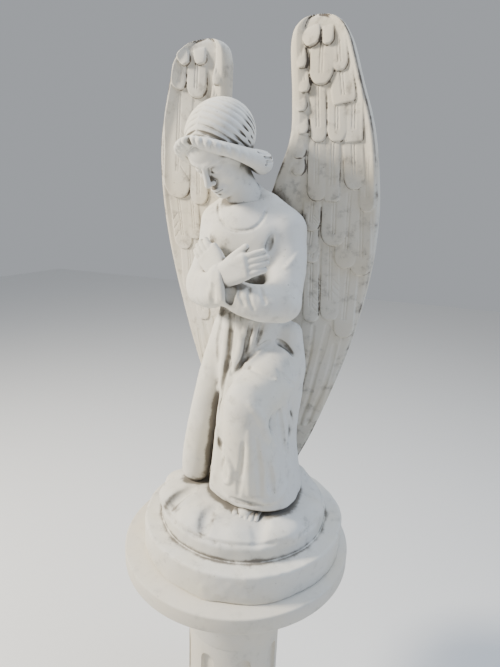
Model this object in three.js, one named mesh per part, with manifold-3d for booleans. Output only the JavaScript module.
// A kneeling angel of cast stone on a short round column.
//
// Three castings stand on each other: the column, a round cap slab, and the angel with its
// wings and its own stepped round base. Units are millimetres, +Z is up, the origin is the
// centre of the column's underside, and the angel faces -Y, with its left side towards +X.
import * as THREE from "three";
import { mergeVertices } from "three/addons/utils/BufferGeometryUtils.js";
import Module from "manifold-3d";

const wasm = await Module();
wasm.setup();

// ---- driving dimensions -------------------------------------------------------------------
const COLUMN = { height: 541, shaftRadius: 90, footRadius: 158, footHeight: 46, flutes: 8 };
const COLLAR = { height: 163, radius: 92 };
const FLUTE = { halfWidth: 20, depth: 11, bottom: 92, firstAngle: -55.4 };
const CAP = { radius: 207, height: 29 };
const DRUM = { radius: 184, height: 52 };
const STEP = { radius: 152, height: 29 };
const MOUND = { radius: 145, height: 22 };
const BASE_CENTRE = new THREE.Vector2(10, 6);
const MOUND_EDGE = DRUM.height + STEP.height;
const WING = { top: 881, tip: 112, border: 30, field: 19 };
const RIGHT_WING_HEIGHT = 0.977;
const HEAD = { centre: [-29, -45, 697], radius: 57, bow: 46, turn: -8 };
const STONE_COLOUR = 0xe4dfd2;

// ---- making solids ------------------------------------------------------------------------
/** The manifold-3d solid of a closed three.js geometry, of which only the positions count. */
function solid(geometry) {
  const bare = geometry.clone();
  bare.deleteAttribute("normal");
  bare.deleteAttribute("uv");
  const merged = mergeVertices(bare, 1e-3);
  const corners = [];
  for (let i = 0; i < merged.index.count; i += 3) {
    const [a, b, c] = merged.index.array.slice(i, i + 3);
    if (a !== b && b !== c && c !== a) corners.push(a, b, c);
  }
  const mesh = new wasm.Mesh({
    numProp: 3,
    vertProperties: merged.attributes.position.array,
    triVerts: new Uint32Array(corners),
  });
  return new wasm.Manifold(mesh);
}

const joined = (solids) => solids.reduce((whole, next) => whole.add(next));

/** The three.js geometry of a solid. */
function geometryOf(made) {
  const { numProp, numVert, vertProperties, triVerts } = made.getMesh();
  const positions = new Float32Array(numVert * 3);
  for (let i = 0; i < numVert; i++) {
    positions.set(vertProperties.subarray(i * numProp, i * numProp + 3), i * 3);
  }
  const geometry = new THREE.BufferGeometry();
  geometry.setAttribute("position", new THREE.BufferAttribute(positions, 3));
  geometry.setIndex(new THREE.BufferAttribute(triVerts, 1));
  geometry.computeVertexNormals();
  return geometry;
}

/**
 * A closed skin: a sphere's net of `around` by `along` faces, whose vertices are moved to
 * place(angle, t), with t going from 0 at one end to 1 at the other.
 */
function skin(around, along, place) {
  const net = new THREE.SphereGeometry(1, around, along);
  const { position, uv } = net.attributes;
  for (let i = 0; i < position.count; i++) {
    const p = place((uv.getX(i) % 1) * 2 * Math.PI, 1 - uv.getY(i));
    position.setXYZ(i, p.x, p.y, p.z);
  }
  return solid(net);
}

const vector = (p) => new THREE.Vector3(...p);
const smooth = (t) => t * t * (3 - 2 * t);

/** A value between the entries of a list, at the fraction t of its length. */
function between(list, t) {
  const at = Math.min(t * (list.length - 1), list.length - 1 - 1e-9);
  const i = Math.floor(at);
  return THREE.MathUtils.lerp(list[i], list[i + 1], smooth(at - i));
}

/**
 * A limb or a fall of cloth along a curve through `points`. `wide` and `deep` are its half
 * sizes at even steps, `bluntness` is how square its ends are, `side` is the direction of its
 * width, and ripple(angle, t) scales its section.
 */
function limb(points, wide, deep, options = {}) {
  const { around = 10, along = 6, bluntness = 3, side = [1, 0, 0], ripple = () => 1 } = options;
  const curve = new THREE.CatmullRomCurve3(points.map(vector));
  return skin(around, along, (angle, row) => {
    const t = (1 - Math.cos(Math.PI * row)) / 2;
    const centre = curve.getPoint(t);
    const direction = curve.getTangent(t);
    const across = vector(side).addScaledVector(direction, -vector(side).dot(direction));
    across.normalize();
    const front = new THREE.Vector3().crossVectors(across, direction);
    const end = Math.max(0, 1 - Math.abs(2 * t - 1) ** bluntness) ** (1 / bluntness);
    const scale = end * ripple(angle, t);
    return centre
      .addScaledVector(across, between(wide, t) * scale * Math.cos(angle))
      .addScaledVector(front, between(deep, t) * scale * Math.sin(angle));
  });
}

/** A ball stretched to three half sizes and turned by Euler angles in degrees. */
function ball(centre, sizes, turn = [0, 0, 0], around = 14, along = 9) {
  const round = solid(new THREE.SphereGeometry(1, around, along));
  return round.scale(sizes).rotate(turn).translate(centre);
}

/** A solid turned about the vertical through `centre`, from a closed profile of [radius, z]. */
function turned(profile, sides, centre = new THREE.Vector2()) {
  const points = profile.map(([r, z]) => new THREE.Vector2(r, z));
  const geometry = new THREE.LatheGeometry(points, sides);
  geometry.rotateX(Math.PI / 2);
  geometry.translate(centre.x, centre.y, 0);
  return solid(geometry);
}

// ---- column: a fluted shaft between a plain collar and a low round foot --------------------
/** One flute: an upright slot with round ends, laid against the shaft at an angle. */
function flute(index) {
  const top = COLUMN.height - COLLAR.height - 27;
  const slot = new THREE.Shape();
  const { halfWidth, depth, bottom } = FLUTE;
  slot.absarc(0, top - halfWidth, halfWidth, 0, Math.PI, false);
  slot.absarc(0, bottom + halfWidth, halfWidth, Math.PI, 2 * Math.PI, false);
  slot.closePath();
  const geometry = new THREE.ExtrudeGeometry(slot, {
    depth: 2 * depth,
    bevelEnabled: false,
    curveSegments: 4,
  });
  geometry.rotateX(Math.PI / 2);
  geometry.translate(0, -COLUMN.shaftRadius + depth, 0);
  geometry.rotateZ(THREE.MathUtils.degToRad(FLUTE.firstAngle + (index * 360) / COLUMN.flutes));
  return solid(geometry);
}

function column() {
  const { height, shaftRadius, footRadius, footHeight } = COLUMN;
  const collarBottom = height - COLLAR.height;
  const body = turned(
    [
      [0, 0],
      [footRadius, 0],
      [footRadius, footHeight - 6],
      [footRadius - 6, footHeight],
      [footRadius - 24, footHeight],
      [footRadius - 18, footHeight + 8],
      [footRadius - 24, footHeight + 17],
      [shaftRadius + 12, footHeight + 21],
      [shaftRadius + 2, footHeight + 33],
      [shaftRadius, footHeight + 44],
      [shaftRadius, collarBottom - 5],
      [COLLAR.radius + 2, collarBottom],
      [COLLAR.radius, height],
      [0, height],
    ],
    40,
  );
  let cut = body;
  for (let i = 0; i < COLUMN.flutes; i++) cut = cut.subtract(flute(i));
  return cut;
}

// ---- cap: the round slab between the column and the angel ----------------------------------
function cap() {
  const { radius, height } = CAP;
  return turned(
    [
      [0, 0],
      [radius - 5, 0],
      [radius, 5],
      [radius, height - 4],
      [radius - 4, height],
      [0, height],
    ],
    56,
  );
}

// ---- the angel's own base: drum, step and rocky mound --------------------------------------
/** How high the mound stands above its edge, at a share of its radius. */
const moundRise = (share) => MOUND.height * Math.cos((Math.min(share, 1) * Math.PI) / 2) ** 0.55;

function angelBase() {
  const drumTop = DRUM.height;
  const shares = [0.97, 0.8, 0.5];
  return turned(
    [
      [0, 0],
      [DRUM.radius, 0],
      [DRUM.radius, drumTop - 7],
      [DRUM.radius - 6, drumTop],
      [STEP.radius, drumTop],
      [STEP.radius, MOUND_EDGE - 4],
      [MOUND.radius, MOUND_EDGE - 1],
      ...shares.map((share) => [MOUND.radius * share, MOUND_EDGE + moundRise(share)]),
      [0, MOUND_EDGE + moundRise(0)],
    ],
    48,
    BASE_CENTRE,
  );
}

// ---- figure: the gown over the body and the two legs ---------------------------------------
/** Upright folds of a gown: a section that swells and sinks `count` times, more towards its end. */
const folds = (count, depth, phase = 0) => (angle, t) =>
  1 + depth * smooth(t) * Math.cos(count * angle + phase);

function figure() {
  const torso = limb(
    [
      [22, 34, 290],
      [22, 26, 350],
      [14, 16, 420],
      [6, 6, 500],
      [4, 8, 560],
      [0, 10, 612],
    ],
    [70, 84, 64, 74, 84, 36],
    [60, 62, 50, 64, 56, 34],
    { around: 16, along: 10, bluntness: 4 },
  );
  const seat = limb(
    [
      [20, 30, 400],
      [18, 42, 310],
      [12, 48, 210],
      [14, 46, 85],
    ],
    [70, 92, 94, 98],
    [50, 52, 56, 66],
    { around: 18, along: 6, bluntness: 5, ripple: folds(6, 0.05) },
  );
  const rightLeg = limb(
    [
      [-14, 10, 400],
      [-36, -12, 290],
      [-62, -26, 190],
      [-72, -30, 102],
    ],
    [34, 44, 38, 30],
    [34, 42, 40, 33],
    { around: 14, bluntness: 4, ripple: folds(4, 0.06) },
  );
  const lapCloth = limb(
    [
      [6, -16, 430],
      [2, -34, 310],
      [-4, -38, 210],
      [-12, -30, 100],
    ],
    [48, 50, 42, 36],
    [26, 34, 36, 30],
    { around: 14, bluntness: 4, ripple: folds(5, 0.08) },
  );
  const thigh = limb(
    [
      [66, 34, 350],
      [58, -30, 350],
      [46, -92, 312],
    ],
    [50, 47, 38],
    [52, 46, 40],
    { around: 12 },
  );
  const shinCloth = limb(
    [
      [44, -84, 340],
      [46, -80, 250],
      [44, -44, 170],
      [48, 4, 96],
    ],
    [30, 42, 58, 80],
    [30, 32, 46, 66],
    { around: 24, along: 8, bluntness: 6, ripple: folds(8, 0.09, 1) },
  );
  const hipCloth = limb(
    [
      [84, 16, 380],
      [92, 10, 270],
      [86, 28, 170],
      [84, 40, 98],
    ],
    [26, 30, 34, 34],
    [40, 44, 50, 52],
    { around: 14, bluntness: 4, ripple: folds(5, 0.08) },
  );
  return [torso, seat, rightLeg, lapCloth, thigh, shinCloth, hipCloth];
}

// ---- bare left foot, with its toes on the mound --------------------------------------------
function foot() {
  const toes = [0, 1, 2, 3, 4].map((i) => {
    const big = i === 0 ? 1 : 0;
    const tip = [30 + 8 * i + 3 * (1 - big), -76 + 1.4 * i * i, 106];
    const root = [tip[0] + 1, tip[1] + 22, 112];
    const size = 6 - 0.5 * i + 2 * big;
    return limb([root, tip], [size, size], [size, size], { around: 6, along: 4, side: [1, 0, 0] });
  });
  const instep = ball([46, -44, 112], [22, 30, 14], [10, 0, 0], 12, 7);
  return [instep, ...toes];
}

// ---- arms crossed on the breast, and the hands ----------------------------------------------
/** A hand: a flat palm and four fingers fanned beside each other, on the way from wrist to tip. */
function hand(wrist, knuckles, tip, spread, thickness, thumbTip) {
  const from = vector(knuckles);
  const reach = vector(tip).sub(from);
  const acrossHand = vector(spread);
  const palm = limb([wrist, knuckles], [15, 18], [thickness, thickness], {
    around: 8,
    along: 4,
    side: spread,
  });
  const fingers = [0.92, 1.03, 1, 0.84].map((share, i) => {
    const root = from.clone().addScaledVector(acrossHand, (1.5 - i) * 9);
    const end = root.clone().addScaledVector(reach, share);
    const middle = root.clone().addScaledVector(reach, -0.35);
    return limb([middle.toArray(), end.toArray()], [5, 4.4], [5, 4.6], {
      around: 6,
      along: 4,
      side: spread,
    });
  });
  const thumb = limb([wrist, thumbTip], [6, 4.5], [6, 5], { around: 6, along: 4, side: spread });
  return [palm, ...fingers, thumb];
}

function arms() {
  const leftUpper = limb(
    [
      [64, 10, 580],
      [72, -6, 525],
      [80, -42, 455],
    ],
    [33, 33, 32],
    [38, 36, 30],
  );
  const leftFore = limb(
    [
      [84, -44, 452],
      [50, -70, 468],
      [10, -76, 495],
      [-14, -74, 512],
    ],
    [27, 27, 24, 17],
    [30, 31, 25, 17],
    { side: [0, -1, 0], bluntness: 4 },
  );
  const rightUpper = limb(
    [
      [-56, 10, 584],
      [-58, -8, 530],
      [-64, -44, 462],
    ],
    [30, 29, 28],
    [36, 34, 30],
  );
  const rightFore = limb(
    [
      [-70, -44, 460],
      [-40, -70, 474],
      [12, -92, 495],
    ],
    [26, 25, 20],
    [27, 28, 29],
    { side: [0, -1, 0], bluntness: 6 },
  );
  const rightHand = hand([2, -92, 508], [38, -97, 523], [70, -84, 537], [-0.42, 0, 0.9], 8, [38, -92, 550]);
  const leftHand = hand([-8, -74, 508], [-32, -70, 526], [-58, -54, 548], [0.7, -0.2, 0.68], 8, [-22, -70, 540]);
  return [leftUpper, leftFore, rightUpper, rightFore, ...rightHand, ...leftHand];
}

// ---- head, bowed and turned to its right, with a roll of waved hair ------------------------
const HEAD_TURN = new THREE.Matrix4().makeRotationFromEuler(
  new THREE.Euler(THREE.MathUtils.degToRad(HEAD.bow), 0, THREE.MathUtils.degToRad(HEAD.turn), "ZYX"),
);

/** A point of the head: `left`, `front` and `up` from its middle, in skull radii. */
function headPoint(left, front, up) {
  const point = new THREE.Vector3(left, -front, up).multiplyScalar(HEAD.radius);
  return point.applyMatrix4(HEAD_TURN).add(vector(HEAD.centre)).toArray();
}

function head() {
  const r = HEAD.radius;
  const turn = [HEAD.bow, 0, HEAD.turn];
  const neck = limb([[-4, 8, 588], [-12, -10, 625], headPoint(0, 0.1, -0.5)], [38, 26, 26], [34, 26, 28]);
  const skull = ball(HEAD.centre, [r, r * 1.06, r], turn, 16, 11);
  const face = ball(headPoint(0, 0.42, -0.4), [r * 0.68, r * 0.66, r * 0.8], turn, 14, 10);
  const jaw = ball(headPoint(0, 0.6, -0.85), [r * 0.4, r * 0.36, r * 0.32], turn, 10, 7);
  const nose = ball(headPoint(0, 1.1, -0.46), [r * 0.09, r * 0.13, r * 0.2], turn, 6, 4);
  const halfRoll = [
    [0.3, -0.6, -1.05],
    [0.8, -0.14, -0.98],
    [0.97, 0.3, -0.55],
    [0.86, 0.55, -0.1],
    [0.62, 0.68, 0.28],
    [0.3, 0.78, 0.52],
  ];
  const mirrored = halfRoll.map(([left, front, up]) => [-left, front, up]).reverse();
  const hairRoll = limb(
    [...halfRoll, [0, 0.8, 0.6], ...mirrored].map((p) => headPoint(...p)),
    [18, 26, 20, 13, 11, 10, 7, 10, 11, 13, 18, 22, 18],
    [18, 25, 18, 12, 11, 10, 7, 10, 11, 12, 16, 21, 18],
    { around: 8, along: 22, bluntness: 4, side: [0, 0, 1] },
  );
  return [neck, skull, face, jaw, nose, hairRoll];
}

// ---- wings ------------------------------------------------------------------------------------
// The left wing's two edges, from the top to the tip; the right wing is their mirror image.
const OUTER_EDGE = new THREE.CatmullRomCurve3(
  [
    [90, 36, WING.top],
    [120, 26, 869],
    [142, 25, 846],
    [162, 38, 785],
    [177, 50, 731],
    [188, 78, 625],
    [179, 98, 530],
    [157, 111, 431],
    [126, 118, 328],
    [102, 120, 220],
    [77, 120, WING.tip],
  ].map(vector),
);
const INNER_EDGE = new THREE.CatmullRomCurve3(
  [
    [90, 36, WING.top],
    [62, 37, 871],
    [52, 38, 846],
    [56, 46, 770],
    [54, 52, 711],
    [30, 58, 645],
    [6, 64, 570],
    [2, 76, 450],
    [16, 95, 280],
    [77, 120, WING.tip],
  ].map(vector),
);

/** A point of the wing's middle surface, `across` from the inner edge, `down` from the top. */
function onWing(across, down) {
  const inner = INNER_EDGE.getPointAt(down);
  return inner.lerp(OUTER_EDGE.getPointAt(down), across);
}

/** The wing's body, with a border that is thicker than the field between its two edges. */
function wingBody() {
  return skin(18, 15, (angle, row) => {
    const down = (1 - Math.cos(Math.PI * row)) / 2;
    const across = Math.cos(angle);
    const round = THREE.MathUtils.clamp(Math.sin(angle) / 0.3, -1, 1);
    const border = Math.max(Math.abs(across) ** 6, 1 - 14 * down);
    const thickness = THREE.MathUtils.lerp(WING.field, WING.border, border) * (1 - 0.5 * down);
    const taper = Math.sqrt(Math.min(1, 16 * down, 16 * (1 - down)));
    const point = onWing((1 + across) / 2, down);
    point.y += (round * taper * thickness) / 2;
    return point;
  });
}

/** One feather on the wing's front, at `across`, hanging from `top` to its round tip at `end`. */
function feather(across, top, end, halfWidth, lift) {
  const stations = [top, (top + end) / 2, end].map((down, i) => {
    const point = onWing(across, down);
    point.y -= (WING.field * (1 - 0.5 * down)) / 2 - 2 + (lift * i) / 2;
    return point.toArray();
  });
  const widths = [0.7 * halfWidth, halfWidth, halfWidth];
  return limb(stations, widths, [5, 5, 5], { around: 6, along: 4 });
}

/** Rows of feathers, each as its count, its top and end, its half width and its lift. */
const FEATHER_ROWS = [
  [2, 0.05, 0.14, 15, 6],
  [3, 0.12, 0.235, 16, 4],
  [4, 0.21, 0.335, 16, 4],
  [4, 0.32, 0.445, 18, 4],
  [4, 0.43, 0.57, 19, 4],
  [3, 0.55, 0.86, 16, 4],
];

function wing() {
  const feathers = FEATHER_ROWS.flatMap(([count, top, end, halfWidth, lift], row) =>
    Array.from({ length: count }, (_, i) => {
      const across = 0.16 + (0.7 * (i + (row % 2 ? 0.5 : 0.35))) / count;
      return feather(across, top, end + 0.01 * (i % 2), halfWidth, lift);
    }),
  );
  return joined([wingBody(), ...feathers]);
}

function angel() {
  const left = wing();
  const right = left
    .mirror([1, 0, 0])
    .translate([0, 0, -WING.tip])
    .scale([1, 1, RIGHT_WING_HEIGHT])
    .translate([0, 0, WING.tip]);
  return joined([angelBase(), ...figure(), ...foot(), ...arms(), ...head(), left, right]);
}

// ---- the object ---------------------------------------------------------------------------------
const angelOnColumn = new THREE.Group();

function addPiece(name, made, underside) {
  const stone = new THREE.MeshStandardMaterial({
    color: STONE_COLOUR,
    roughness: 0.9,
    metalness: 0,
  });
  const mesh = new THREE.Mesh(geometryOf(made), stone);
  mesh.name = name;
  mesh.position.z = underside;
  angelOnColumn.add(mesh);
}

addPiece("column", column(), 0);
addPiece("cap", cap(), COLUMN.height);
addPiece("angel", angel(), COLUMN.height + CAP.height);

export default angelOnColumn;
